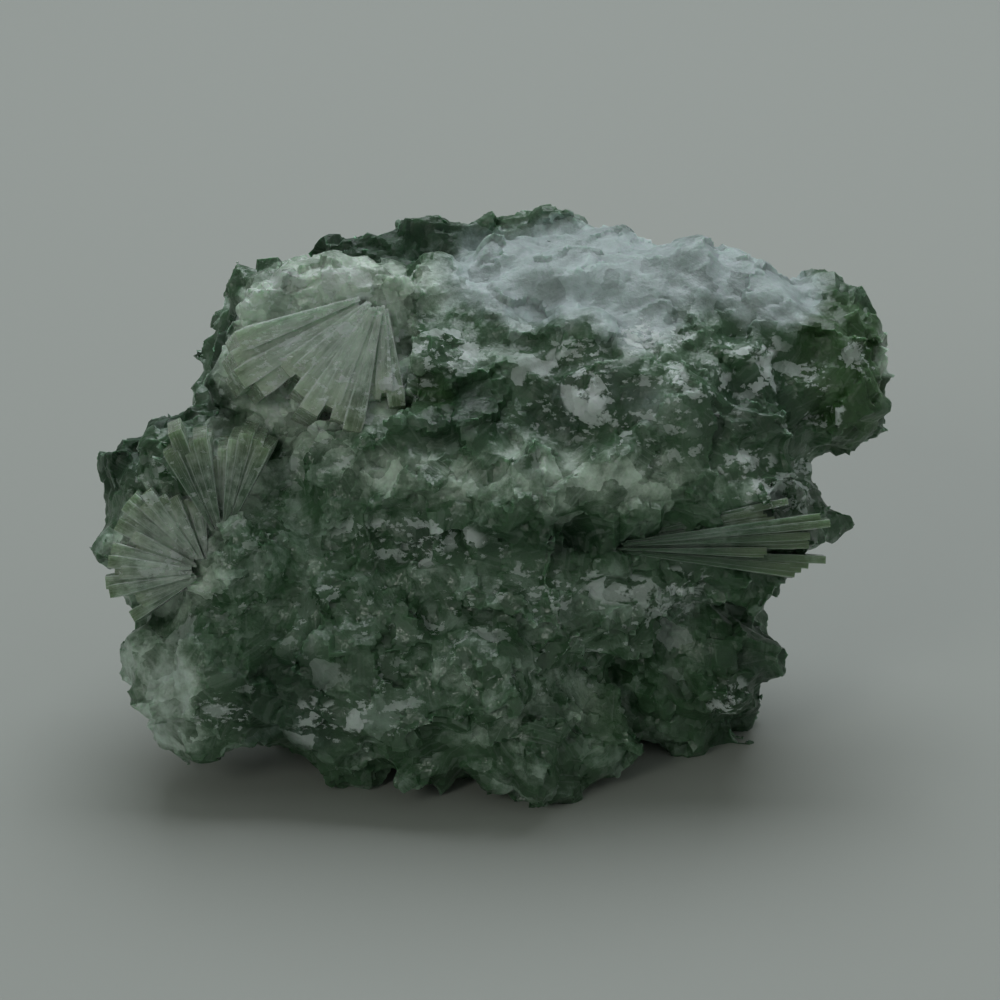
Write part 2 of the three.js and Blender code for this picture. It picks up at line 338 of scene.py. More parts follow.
# %% [markdown]
# ## Masks for the zones
# The lump is not one green. Its cap is milky white, and the top of the lump is also painted lighter
# where the overhead light falls on it. Its fans are pale, and the rim of the knob is painted pale as a
# glow. The knob is deep green and as green as moss, and these darker greens are also painted as shade
# into the hollows, under the ledges, behind the fans and at the back. Chalk lies where crystals broke,
# and thin scatters of white specks are painted glints. A painter would paint a mask for each. Here
# each mask is a set of soft blots round named places, kept at the points of the mesh as an attribute,
# so that a material can read it and break its edge up with noise.

# %% Blots of the five masks
BLOTS = {
    # centre and half sizes: across, up and toward in mm, then strength
    "milk": [
        # milky stone; on the cap, its right end, the right shoulder and the skirt, on top of the lump, also
        # painted light where the overhead light falls
        ((5.6, 14, -4), (9.4, 4.4, 12), 1.0),  # white cap
        ((13, 14, -4), (5, 3.2, 9), 0.8),  # its right end
        ((17, 13, -3), (3.4, 3, 7), 0.9),  # right shoulder
        ((8, 10.6, 0), (4, 2, 6), 0.8),  # its skirt
        ((-20.4, -11.4, 1), (3.8, 5.2, 7), 0.5),  # left foot
        ((2.6, 1.6, 4), (12.5, 2.4, 5), 0.42),  # middle shelf
        ((-14.5, -14, 2), (8, 2.4, 7), 0.3),  # foot of the left side
        ((6.5, 5.5, 2), (10, 3.6, 8), 0.36),  # grey veil over the centre
    ],
    "pale": [
        ((-11.6, 9.2, 3), (6.2, 6.4, 6), 1.0),  # pale fan
        ((-9.6, 13.4, 0), (7, 3, 6), 0.75),  # upper plate
        ((-20.4, -3.4, 3), (4.6, 4.4, 6), 0.75),  # left fan
        ((-16.6, 2, 3), (3, 5, 6), 0.6),  # upright fan
        ((2.8, 1.2, 4), (13, 3, 6), 0.65),  # middle shelf
        ((-6, 1.6, 4), (4, 2.4, 5), 0.75),  # its left end
        ((-1.6, -10.4, 4), (3.4, 2, 5), 0.5),  # round lump
        ((1.6, -13.4, 3), (6, 5, 6), 0.4),  # front tip
        ((-20.4, -11.4, 1), (3.8, 5.2, 7), 0.65),  # left foot
        ((6, -5.4, 3), (7, 2.2, 6), 0.2),  # belly
        # painted glow: the knob's rim is painted pale where light shines through it from behind
        ((24.6, 9.4, -3), (1.5, 2.6, 7), 0.6),  # clear rim of the knob
    ],
    # the knob's own deep green, and painted shade in the recesses, under the ledges, behind the fans and at
    # the back
    "deep": [
        ((21.8, 8.1, -2), (3.6, 6, 7), 0.75),  # knob
        ((-2.4, 5, 2), (4.4, 3.4, 7), 0.85),  # recess beside the fan
        ((5, 6, 2), (6, 3.4, 7), 0.7),  # centre
        ((14.5, 5.4, 2), (5.5, 3.6, 7), 0.65),  # right slope
        ((16, 10.2, 0), (3.6, 1.6, 6), 0.5),  # below the right shoulder
        ((2.5, -2.2, 4), (10, 2, 6), 0.7),  # dark band
        ((15, -11.4, -4), (4, 6, 8), 0.7),  # lower right
        ((-21.6, 2.8, -4), (4.4, 4, 6), 1.0),  # back left
        ((-6, 15.6, -8.6), (7, 2.8, 5), 1.0),  # back top
        ((-17.4, 8, -1), (1.6, 5, 5), 0.9),  # behind the pale fan
        ((-13, -12, 3), (4.4, 4, 6), 0.85),  # under the left side
        ((14, -4.6, 1), (8, 1.6, 6), 0.5),  # under the right ledge
    ],
    "moss_green_and_shade": [
        ((21.4, 8.4, -1), (3.4, 5, 6), 1.0),  # knob
        # painted shade: a darker green in the recess beside the fan
        ((-4.4, 6.2, 2), (2.4, 2.6, 6), 0.7),  # recess beside the fan
        ((6.6, -13.4, 2), (2.6, 3, 6), 0.5),  # right of the front tip
        # painted shade: a darker green low at the right and back
        ((13, -11.4, -3), (4, 5, 8), 0.45),  # lower right
    ],
    "chalk_and_glints": [
        ((9.4, 10, 1), (2.2, 0.9, 5), 1.0),  # below the white skirt
        ((5.2, 6.8, 3), (1.4, 1.8, 5), 1.0),  # big flake
        ((4.6, 8.8, 2), (1.8, 0.8, 5), 0.9),
        ((10.6, 7.3, 2), (1.0, 1.2, 5), 0.9),
        ((15.2, 9.4, 1), (1.6, 0.9, 5), 0.5),
        ((-3.6, 9, 2), (2.2, 1.2, 5), 0.5),
        ((6.9, 5, 3), (2.6, 0.8, 5), 0.5),
        ((18.8, 2.2, 1), (0.8, 0.7, 4), 0.9),
        ((15.1, 2, 2), (1.7, 1.0, 5), 0.7),
        ((17.2, 0.5, 2), (2.8, 0.9, 5), 0.9),
        ((-6.6, 7.4, 3), (1, 1, 4), 0.9),  # edge of the pale fan
        ((19.4, 7.7, 1), (1.1, 0.9, 4), 0.4),
        ((20, 5.4, 1), (1.6, 0.8, 4), 0.4),
        ((22.2, 8.8, 1), (1.0, 1.0, 4), 0.4),
        ((2, -5.6, 4), (2.6, 1.2, 5), 0.5),
        ((7.4, -5.4, 4), (2.4, 0.9, 5), 0.4),
        ((11, -5.8, 4), (2, 1.4, 5), 0.5),
        ((-4.6, -2.4, 4), (4, 1.6, 5), 0.45),
        ((14.2, -12.4, 0), (1, 1, 4), 0.6),
        ((-17.4, -13.2, 4), (1.6, 1, 5), 0.5),
        ((-9, -13.4, 4), (3, 1.6, 5), 0.4),
        # thin scatters: white specks painted as glints, more than chalk
        ((9, 5.6, 0), (9, 4.4, 14), 0.2),  # scattered over the upper right
        ((-11.6, 9, 3), (6.4, 6, 7), 0.3),  # scattered over the pale fan
        ((-19, -2, 3), (5, 6, 7), 0.14),  # scattered over the left fans
        ((-2, -8, 4), (16, 5, 8), 0.1),  # scattered over the lower mass
    ],
}


BLOT_FALL = 0.7
BLOT_SQUARENESS = 1.5


def blot_strength(places, blots):
    """How strongly a mask's blots cover each place, from 0 to 1."""
    strength = np.zeros(len(places))
    for middle, half, strongest in blots:
        away = (((places - middle) / half) ** 2).sum(1)
        strength = np.maximum(strength, strongest * np.exp(-BLOT_FALL * away**BLOT_SQUARENESS))
    return strength


def mesh_rows(mesh, layer):
    """A mesh's points or its outward directions as rows of three."""
    rows = np.empty(3 * len(mesh.vertices))
    mesh.vertices.foreach_get(layer, rows)
    return rows.reshape(-1, 3)


def add_masks(mesh):
    """Keeps each mask at the points of a mesh."""
    places = to_view(mesh_rows(mesh, "co"))
    for name, blots in BLOTS.items():
        kept = mesh.attributes.new(name, "FLOAT", "POINT")
        kept.data.foreach_set("value", blot_strength(places, blots))


print("masks:", list(BLOTS))

# %% [markdown]
# ## Fans of blades
# Prehnite's blades start together at one point and widen outwards, with square, stepped ends, so they
# look like a half-open fan. One blade is made of several laths that differ a little in length and
# level, which gives the ribs and the steps. A lath is modelled once, as a small wedge with bevelled
# edges, and Geometry Nodes set a copy at each of its places and join all of them to one closed skin.
# Placing hundreds of laths by hand would take a day, and copies that only overlap would show their
# hidden ends through the clear crystal. Each corner of a lath keeps its place along and across the
# lath in a UV map named comb, from which the finish draws the lines that run along a blade.

# %% One lath and one slab
ROOT_SHARE = 0.2
EDGE_BEVEL = 0.09


def bevelled_block(name, root):
    """A block along X from root to 1, whose half width goes from that of root, unsigned, to 1."""
    block = bmesh.new()
    bmesh.ops.create_cube(block, size=2)
    for corner in block.verts:
        near = corner.co.x < 0
        corner.co.x = root if near else 1
        corner.co.y *= abs(root) if near else 1
    ends = [e for e in block.edges if all(v.co.x > 0.9 for v in e.verts)]
    bmesh.ops.bevel(block, geom=ends, offset=EDGE_BEVEL, segments=1, affect="EDGES")
    mesh = bpy.data.meshes.new(name)
    block.to_mesh(mesh)
    block.free()
    comb = mesh.uv_layers.new(name="comb")
    for loop in mesh.loops:
        x, y, _ = mesh.vertices[loop.vertex_index].co
        comb.data[loop.index].uv = (x, y)
    return mesh


lath = add_object("lath", bevelled_block("lath", ROOT_SHARE))
slab = add_object("slab", bevelled_block("slab", -1))
print("faces of a lath:", len(lath.data.polygons))

# %% [markdown]
# ## Where the fans stand
# Four fans stand free of the stone and keep their crisp laths. The others are half buried, as most of
# the crystals are: they are built in the same way and recast with the body later, so that no seam
# shows where one ends. The fans at the front are placed one by one, since their pattern is what one
# knows the lump by. The back isn't known, so sprays of one pattern are set evenly round it by a rule.

# %% Rows of blades
BLADE_OVERLAP = 1.15
NOTCH_SHARE = 0.16
LENGTH_SPREAD = 0.14
LAYER_SPREAD = 0.16
LATHS = 4
LATH_OVERLAP = 1.3
LATH_LENGTH_SPREAD = 0.14
LATH_LAYER_SPREAD = 0.06
LATH_TWIST = math.radians(2)
FANS = [
    # apex, first and last direction in degrees, first and last reach, blades, thickness, rise, lean,
    # and whether it stands free
    ((-7.2, 12.8, 1.8), (209, 268), (11, 9.8), 4, 4.4, 14, 0, True),  # pale fan
    ((-2, 13, -0.6), (178, 186), (14.8, 15), 2, 4.4, 8, 0, False),  # upper plate
    ((-17.8, -4.4, 3.4), (106, 202), (6.8, 7), 6, 4.4, 4, 0, True),  # left fan
    ((-17, -2.6, 3), (74, 110), (8, 8.6), 3, 4.4, 12, 0, True),  # upright fan
    ((-11, -1.6, 2), (40, 84), (8.2, 8.6), 3, 4.4, 14, 0, False),  # under fan
    ((4.8, -2.9, 2.8), (-5, 10), (15.6, 17), 4, 5.6, 2, 0, True),  # right ledge
    ((10, 16.4, -4.2), (232, 300), (9.4, 8.8), 5, 3.4, 38, 0, False),  # white skirt
    ((10.4, 9.6, 4.6), (204, 256), (8.4, 6.8), 4, 3.2, 8, 0, False),  # centre fan
    ((11.6, 7, 3), (-60, -28), (7, 8.4), 3, 4, 4, 0, False),  # right slope
    ((2.4, 2.6, -4), (-152, -28), (13.4, 13.4), 9, 3.2, 0, 80, False),  # shelf
    ((1, -6, -4.6), (-140, -30), (12.6, 12.2), 7, 3, 0, 74, False),  # low shelf
    ((-1.4, -9.6, 2.8), (-86, -36), (9.6, 9.2), 4, 3.6, -10, 0, False),  # tip fan
    ((-10.4, -8, 3.6), (240, 292), (9, 8.8), 4, 4, -10, 0, False),  # lower fan
    ((-17, -9, 3), (196, 252), (6.6, 7.6), 4, 4, -6, 0, False),  # left low fan
    ((19.2, 8.8, -1.4), (-44, 34), (5.4, 5.2), 4, 4.2, -6, 0, False),  # knob plates
]
SPRAYS = 12
# a spray has the columns of a fan, in a frame of its own
SPRAY = ((0, 0, 0), (-30, 30), (8.2, 7.6), 4, 3.2, 0, 0)
SPRAY_SUNK = 6
SPRAY_ROUND = 0.8
dice = np.random.default_rng(7)


def blade_laths(fan, seed, stand):
    """The laths of a fan in the frame that it stands in: a place, a turn and half sizes for each."""
    apex, opening, reaches, blades, thick, rise, lean = fan
    first, last = np.radians(opening)
    spacing = (last - first) / (blades - 1)
    made = []
    for i in range(blades):
        pick = fract(i * GOLDEN + seed * SILVER)
        layer = fract(i * SILVER + seed * GOLDEN)
        reach = (reaches[0] + (reaches[1] - reaches[0]) * i / (blades - 1)) * (1 - LENGTH_SPREAD * pick)
        half_tip = reach * math.tan(abs(spacing) / 2 * BLADE_OVERLAP)
        for j in range(LATHS):
            shorter, level, twist = dice.random(3)
            aside = half_tip * ((2 * j + 1) / LATHS - 1)
            notched = aside < half_tip * (pick - 0.5)
            length = reach * (1 - NOTCH_SHARE * pick if notched else 1) * (1 - LATH_LENGTH_SPREAD * shorter)
            height = thick * (LAYER_SPREAD * (layer - 0.5) + LATH_LAYER_SPREAD * (level - 0.5))
            way = (
                Matrix.Rotation(-math.radians(lean), 4, "X")
                @ Matrix.Rotation(first + spacing * i, 4, "Z")
                @ Matrix.Rotation(-math.radians(rise), 4, "Y")
            )
            turned = Matrix.Rotation(math.atan2(aside, reach), 4, "Z") @ Matrix.Rotation(
                LATH_TWIST * (2 * twist - 1), 4, "X"
            )
            whole = stand @ Matrix.Translation(apex) @ way @ Matrix.Translation((0, 0, height)) @ turned
            made.append((whole, (length, half_tip / LATHS * LATH_OVERLAP, thick / 2)))
    return made


def growth_frame(point, outward, spin):
    """The frame of a spray that grows out of the skin at a point, with +X outward."""
    x = Vector(outward)
    side = Matrix.Rotation(spin, 3, x) @ Vector((0, 0, 1)).cross(x).normalized()
    return Matrix.Translation(point) @ Matrix((x, side, x.cross(side))).transposed().to_4x4()


free_laths, sunk_laths = [], []
for seed, (*fan, free) in enumerate(FANS):
    (free_laths if free else sunk_laths).extend(blade_laths(fan, seed, Matrix.Identity(4)))
spray_numbers = np.arange(SPRAYS)
# these ways point from the heart away from the viewer
spray_ways = even_directions(spray_numbers, 2 * SPRAYS / SPRAY_ROUND) * [1, 1, -1]
spray_feet = HEART + spray_ways * (lump_reach(spray_ways, LUMPS) - SPRAY_SUNK)[:, None]
for seed in range(SPRAYS):
    stand = growth_frame(spray_feet[seed], spray_ways[seed], 2 * math.pi * fract(seed * SILVER))
    sunk_laths += blade_laths(SPRAY, seed, stand)
print("laths:", len(free_laths), "free and", len(sunk_laths), "sunk")

# %% [markdown]
# ## Blocks
# At the left corner and along the top at the back the crystals end in square steps. A cube would do
# for each, but cleavage parts such a block into slabs that end at different levels, so a block is a
# row of three slabs. A slab is a lath without the taper, set by the same tree.

# %% Where the blocks stand
SLABS = 3
SLAB_SPREAD = 0.24
SLAB_OVERLAP = 1.15
BLOCKS = [
    # where each block is centred, its half sizes, and its turn in degrees
    ((-22.9, 0.4, -3.6), (2.1, 2.9, 2.6), 6),  # left step low
    ((-21, 1.6, -4.4), (2.9, 3.1, 3), 3),  # left step middle
    ((-20.4, 3.4, -5.4), (2, 2.8, 2.8), -2),  # left step high
    ((-8.6, 14.8, -8.2), (2.9, 2.4, 2.6), 2),  # top step low
    ((-5.8, 15.3, -8.8), (3.4, 2.5, 2.4), -3),  # top step middle
    ((-2.6, 16.3, -9.4), (3.8, 2.4, 2.6), 4),  # top step high
    ((4, 16.4, -9.4), (3.8, 2.6, 2.6), -5),  # top ridge
    ((13.6, -9.6, -6.4), (3, 3.6, 3.4), -4),  # low right corner
]

slab_places = []
for index, (middle, half, turn) in enumerate(BLOCKS):
    for i in range(SLABS):
        lower = 2 * half[1] * SLAB_SPREAD * fract(i * GOLDEN + index * SILVER)
        shallower = 2 * half[2] * SLAB_SPREAD * fract(i * SILVER + index * GOLDEN)
        place = (half[0] * ((2 * i + 1) / SLABS - 1), -lower / 2, 0)
        way = Matrix.Rotation(math.radians(2 * turn), 4, "Y") @ Matrix.Rotation(math.radians(turn), 4, "Z")
        whole = Matrix.Translation(middle) @ way @ Matrix.Translation(place)
        size = (half[0] / SLABS * SLAB_OVERLAP, half[1] - lower / 2, half[2] - shallower / 2)
        slab_places.append((whole, size))
print("slabs:", len(slab_places))

# %% [markdown]
# ## A tree that grows crystals
# Geometry Nodes could build every lath from a cube, or set copies of one that is already modelled. The
# tree below sets copies, because then one bevelled lath serves for all. It reads a turn and a stretch
# at each point, sets a copy there, joins the copies with a Mesh Boolean and cuts off what is below the
# floor. It ends in Realize Instances and Set Material, so that plain faces with a finish leave it.

# %% A tree that sets a crystal at each place
GROUND_SIDE = 0.2


def grow_tree():
    """Sets a crystal at each point by its turn and stretch, joins them, and cuts off what is below 0."""
    tree = bpy.data.node_groups.new("grow crystals", "GeometryNodeTree")
    for name, kind in (
        ("Places", "NodeSocketGeometry"),
        ("Crystal", "NodeSocketObject"),
        ("Size", "NodeSocketFloat"),
        ("Grounded", "NodeSocketBool"),
        ("Material", "NodeSocketMaterial"),
    ):
        tree.interface.new_socket(name, in_out="INPUT", socket_type=kind)
    tree.interface.new_socket("Crystals", in_out="OUTPUT", socket_type="NodeSocketGeometry")
    start = add_node(tree, "NodeGroupInput").outputs
    turn = add_node(tree, "GeometryNodeInputNamedAttribute", {"Name": "turn"}, data_type="QUATERNION")
    stretch = add_node(tree, "GeometryNodeInputNamedAttribute", {"Name": "stretch"}, data_type="FLOAT_VECTOR")
    scale = add_node(
        tree,
        "ShaderNodeVectorMath",
        {0: stretch.outputs["Attribute"], "Scale": start["Size"]},
        operation="SCALE",
    )
    crystal = add_node(tree, "GeometryNodeObjectInfo", {"Object": start["Crystal"]})
    copies = add_node(
        tree,
        "GeometryNodeInstanceOnPoints",
        {
            "Points": start["Places"],
            "Instance": crystal.outputs["Geometry"],
            "Rotation": turn.outputs["Attribute"],
            "Scale": scale.outputs["Vector"],
        },
    )
    joined = add_node(
        tree,
        "GeometryNodeMeshBoolean",
        {"Mesh 2": copies.outputs["Instances"]},
        operation="UNION",
        solver="MANIFOLD",
    )
    below = add_node(tree, "GeometryNodeMeshCube", {"Size": (GROUND_SIDE, GROUND_SIDE, GROUND_SIDE)})
    ground = add_node(
        tree,
        "GeometryNodeTransform",
        {"Geometry": below.outputs["Mesh"], "Translation": (0, 0, -GROUND_SIDE / 2)},
    )
    standing = add_node(
        tree,
        "GeometryNodeMeshBoolean",
        {"Mesh 1": joined.outputs["Mesh"], "Mesh 2": ground.outputs["Geometry"]},
        operation="DIFFERENCE",
        solver="MANIFOLD",
    )
    shown = add_node(
        tree,
        "GeometryNodeSwitch",
        {"Switch": start["Grounded"], "False": joined.outputs["Mesh"], "True": standing.outputs["Mesh"]},
        input_type="GEOMETRY",
    )
    real = add_node(tree, "GeometryNodeRealizeInstances", {"Geometry": shown.outputs["Output"]})
    dressed = add_node(
        tree,
        "GeometryNodeSetMaterial",
        {"Geometry": real.outputs["Geometry"], "Material": start["Material"]},
    )
    add_node(tree, "NodeGroupOutput", {0: dressed.outputs["Geometry"]})
    return tree


GROW = grow_tree()
print("nodes of the tree:", len(GROW.nodes))

# %% [markdown]
# ## Growing the fans and the blocks
# A tree runs as a modifier, and its inputs are set by their sockets' identifiers. The mesh that it
# makes is then copied out and the modifier is removed, so that each piece is a plain mesh in the end.
# The places could be typed in as objects, but a mesh of bare points carries a turn and a stretch for
# each crystal as attributes. The two finishes are named here and filled in later.

# %% Grow the fans and the blocks
def evaluated_mesh(obj):
    """The mesh that an object's modifiers make."""
    return bpy.data.meshes.new_from_object(obj.evaluated_get(bpy.context.evaluated_depsgraph_get()))


def run_tree(obj, tree, values):
    """Runs a tree on an object, with its inputs set by name, and gives the result as a plain mesh."""
    step = obj.modifiers.new(tree.name, "NODES")
    step.node_group = tree
    for item in tree.interface.items_tree:
        if item.in_out == "INPUT" and item.name in values:
            step[item.identifier] = values[item.name]
    mesh = evaluated_mesh(obj)
    obj.modifiers.remove(step)
    return mesh


def grow(name, places, crystal, material, grounded=True):
    """Crystals of one shape at these places, as one object."""
    points = bpy.data.meshes.new(name + "_places")
    points.vertices.add(len(places))
    view = VIEW_TURN.to_4x4()
    turns = [(view @ whole).to_quaternion() for whole, _ in places]
    at = to_scene([whole.translation for whole, _ in places])
    points.vertices.foreach_set("co", at.ravel())
    points.attributes.new("turn", "QUATERNION", "POINT").data.foreach_set("value", np.ravel(turns))
    sizes = np.ravel([size for _, size in places])
    points.attributes.new("stretch", "FLOAT_VECTOR", "POINT").data.foreach_set("vector", sizes)
    seeds = add_object(name + "_places", points)
    values = {"Crystal": crystal, "Size": MM, "Grounded": grounded, "Material": material}
    grown = run_tree(seeds, GROW, values)
    bpy.data.objects.remove(seeds)
    grown.name = name
    return add_object(name, grown)


crystal_finish = bpy.data.materials.new("prehnite_crystal")
mass_finish = bpy.data.materials.new("prehnite_cleaved_mass")
fans = grow("prehnite_fans", free_laths, lath, crystal_finish)
sunk = [
    grow("sunk fans", sunk_laths, lath, mass_finish),
    grow("blocks", slab_places, slab, mass_finish),
]
add_masks(fans.data)
print("faces of the fans, the sunk fans and the blocks:", [len(o.data.polygons) for o in (fans, *sunk)])

# %% [markdown]
# ## Little fans all over
# Between the big fans the skin is crowded with little ones, of which only the tips stand out. They
# could be modelled one by one or painted as bump, which would leave the outline smooth. A few little
# fans are grown by the same rule as the big ones, and a second tree scatters them over a skin. Each
# lies nearly flat, with its own spin, rise and size, and a fixed seed keeps them where they are. They
# are sunk by about a fifth of their size, and recast with the body later, so that they look grown in.

# %% A few little fans
LITTLE_FANS = [
    # opening in degrees, reaches, blades and thickness, as shares of the fan's size
    ((-34, 30), (1.0, 0.9), 3, 0.34),
    ((-22, 26), (0.9, 1.0), 2, 0.42),
    ((-48, 44), (1.0, 0.94), 4, 0.30),
    ((-20, 18), (1.0, 0.96), 2, 0.36),
]
LITTLE_BACK = 0.55
LITTLE_SUNK = 0.19

kinds = bpy.data.collections.new("little fans")
bpy.context.scene.collection.children.link(kinds)
for seed, (opening, reaches, blades, thick) in enumerate(LITTLE_FANS):
    little = ((0, 0, 0), opening, reaches, blades, thick, 0, 0)
    stand = Matrix.Translation((-LITTLE_BACK, 0, -LITTLE_SUNK))
    places = blade_laths(little, seed + 1, stand)
    made = grow(f"little fan {seed + 1}", places, lath, crystal_finish, grounded=False)
    made.data.transform(Matrix.Scale(1 / MM, 4) @ Matrix.Translation((0, 0, -MM * EYE_LEVEL)))
    made.data.transform(VIEW_TURN.transposed().to_4x4())
    kinds.objects.link(made)
    bpy.context.scene.collection.objects.unlink(made)
for pattern in (lath, slab):
    bpy.data.objects.remove(pattern)

# %% [markdown]
# ## A tree that scatters them
# Points could be strewn at random, but some would then lie on top of each other. Poisson disks keep a
# least distance, and a density factor leaves the milky and the pale zones almost bare, because the
# real stone is smoother there. The tree gives back the skin and the little fans on it together.

# %% A tree that scatters them over a skin
def scatter_tree():
    """Scatters little fans over a skin, fewer where it is milky or pale, lying on it."""
    tree = bpy.data.node_groups.new("scatter fans", "GeometryNodeTree")
    for name, kind in (
        ("Skin", "NodeSocketGeometry"),
        ("Kinds", "NodeSocketCollection"),
        ("Spacing", "NodeSocketFloat"),
        ("Smallest", "NodeSocketFloat"),
        ("Largest", "NodeSocketFloat"),
        ("Least rise", "NodeSocketFloat"),
        ("Most rise", "NodeSocketFloat"),
        ("On calm zones", "NodeSocketFloat"),
        ("Seed", "NodeSocketInt"),
        ("Material", "NodeSocketMaterial"),
    ):
        tree.interface.new_socket(name, in_out="INPUT", socket_type=kind)
    tree.interface.new_socket("Plated skin", in_out="OUTPUT", socket_type="NodeSocketGeometry")
    start = add_node(tree, "NodeGroupInput").outputs
    calm = [
        add_node(tree, "GeometryNodeInputNamedAttribute", {"Name": name}, data_type="FLOAT").outputs[0]
        for name in ("milk", "pale")
    ]
    calmest = add_node(tree, "ShaderNodeMath", {0: calm[0], 1: calm[1]}, operation="MAXIMUM")
    bare = add_node(
        tree,
        "ShaderNodeMapRange",
        {
            "Value": calmest.outputs[0],
            "From Min": 0.2,
            "From Max": 0.7,
            "To Min": 1.0,
            "To Max": start["On calm zones"],
        },
    )
    closest = add_node(tree, "ShaderNodeMath", {0: start["Spacing"], 1: 0.5}, operation="MULTIPLY")
    most = add_node(tree, "ShaderNodeMath", {0: closest.outputs[0], 1: -2.0}, operation="POWER")
    spots = add_node(
        tree,
        "GeometryNodeDistributePointsOnFaces",
        {
            "Mesh": start["Skin"],
            "Distance Min": start["Spacing"],
            "Density Max": most.outputs[0],
            "Density Factor": bare.outputs["Result"],
            "Seed": start["Seed"],
        },
        distribute_method="POISSON",
    )
    spin = add_node(
        tree, "FunctionNodeRandomValue", {2: -math.pi, 3: math.pi, "Seed": start["Seed"]}, data_type="FLOAT"
    )
    dip = [
        add_node(tree, "ShaderNodeMath", {0: start[name], 1: -1.0}, operation="MULTIPLY").outputs[0]
        for name in ("Most rise", "Least rise")
    ]
    rise = add_node(
        tree, "FunctionNodeRandomValue", {2: dip[0], 3: dip[1], "Seed": start["Seed"]}, data_type="FLOAT"
    )
    turn = add_node(
        tree, "FunctionNodeAlignRotationToVector", {"Vector": spots.outputs["Normal"]}, axis="Z"
    )
    for axis, angle in (((0, 0, 1), spin), ((0, 1, 0), rise)):
        by = add_node(tree, "FunctionNodeAxisAngleToRotation", {"Axis": axis, "Angle": angle.outputs[1]})
        turn = add_node(
            tree,
            "FunctionNodeRotateRotation",
            {"Rotation": turn.outputs["Rotation"], "Rotate By": by.outputs["Rotation"]},
            rotation_space="LOCAL",
        )
    sizes = {2: start["Smallest"], 3: start["Largest"], "Seed": start["Seed"]}
    size = add_node(tree, "FunctionNodeRandomValue", sizes, data_type="FLOAT")
    kind = add_node(
        tree,
        "GeometryNodeCollectionInfo",
        {"Collection": start["Kinds"], "Separate Children": True, "Reset Children": True},
    )
    copies = add_node(
        tree,
        "GeometryNodeInstanceOnPoints",
        {
            "Points": spots.outputs["Points"],
            "Instance": kind.outputs["Instances"],
            "Pick Instance": True,
            "Rotation": turn.outputs["Rotation"],
            "Scale": size.outputs[1],
        },
    )
    both = add_node(tree, "GeometryNodeJoinGeometry", {0: start["Skin"]})
    tree.links.new(copies.outputs["Instances"], both.inputs[0])
    real = add_node(tree, "GeometryNodeRealizeInstances", {"Geometry": both})
    dressed = add_node(
        tree,
        "GeometryNodeSetMaterial",
        {"Geometry": real.outputs["Geometry"], "Material": start["Material"]},
    )
    add_node(tree, "NodeGroupOutput", {0: dressed.outputs["Geometry"]})
    return tree


SCATTER = scatter_tree()
print("nodes of the scattering tree:", len(SCATTER.nodes))

# %% [markdown]
# ## From a drawn-out ball to an even skin
# A ball drawn out this far has long, thin faces on the steep sides of its knobs, and crystals set on
# it only touch it. The ball could be cut finer and every crystal joined to it, but that spends faces
# where they don't help. All of it is recast instead: small plates are scattered over the ball, and
# the Remesh modifier fills them, the ball, the blocks and the sunk fans with small cubes and lays one
# skin of equal faces over them. First comes the ball, which is a finely cut cube drawn out.

# %% A ball drawn out to the lump
BALL_CUTS = 110
BODY_HALF = np.array([24, 15, 13])


def drawn_ball():
    """A finely cut cube drawn out to the skin of the lump, with its broad cells."""
    cube = bmesh.new()
    bmesh.ops.create_cube(cube, size=2)
    bmesh.ops.subdivide_edges(cube, edges=cube.edges[:], cuts=BALL_CUTS, use_grid_fill=True)
    mesh = bpy.data.meshes.new("drawn ball")
    cube.to_mesh(mesh)
    cube.free()
    even = np.tan(mesh_rows(mesh, "co") * math.pi / 4)
    ways = even / np.linalg.norm(even, axis=1)[:, None] * BODY_HALF
    ways /= np.linalg.norm(ways, axis=1)[:, None]
    places = HEART + ways * lump_reach(ways, growths)[:, None]
    lift = sum(cell_relief(places, *size) for size in BROAD_CELLS)
    mesh.vertices.foreach_set("co", to_scene(places + ways * lift[:, None]).ravel())
    mesh.update()
    return mesh


ball = add_object("drawn ball", drawn_ball())
add_masks(ball.data)
print("faces of the ball:", len(ball.data.polygons))

# %% Recast with the plates, the blocks and the sunk fans
RECAST_SIZE = 0.31
GROWN_IN = {
    # how the plates are scattered, in metres and radians
    "Spacing": MM * 2.5,
    "Smallest": MM * 1.6,
    "Largest": MM * 3.2,
    "Least rise": math.radians(-4),
    "Most rise": math.radians(4),
    "On calm zones": 0.1,
    "Seed": 11,
}

plated = run_tree(ball, SCATTER, {**GROWN_IN, "Kinds": kinds, "Material": mass_finish})
whole = bmesh.new()
for part in (plated, *(o.data for o in sunk)):
    whole.from_mesh(part)
whole.to_mesh(ball.data)
whole.free()
recast = ball.modifiers.new("recast", "REMESH")
recast.mode = "VOXEL"
recast.voxel_size = MM * RECAST_SIZE
mass_mesh = evaluated_mesh(ball)
mass_mesh.name = "prehnite_mass"
for made in (ball, *sunk, *kinds.objects):
    bpy.data.objects.remove(made)
bpy.data.collections.remove(kinds)
print("faces of the recast skin:", len(mass_mesh.polygons))

# %% [markdown]
# ## Evened out and cleaved again
# A skin laid over small cubes keeps their steps and loses the crisp planes. A Smooth modifier would
# even all of it alike, but the real cap is icy and smooth while the green mass is rough, so each point
# is drawn toward its neighbours by its own share, most where it is milky. The finest cells are then
# raised out of the skin. The whole skin also sinks by a quarter of a millimetre, which takes back what
# the plates and the recast have added to the lump's size.

# %% Even the skin out and raise its finest cells
EVEN_STEPS = 18
LEAST_EVENED = 0.12
MOST_EVENED = 0.5
SKIN_SUNK = 0.25
MILK_CALM = 0.7


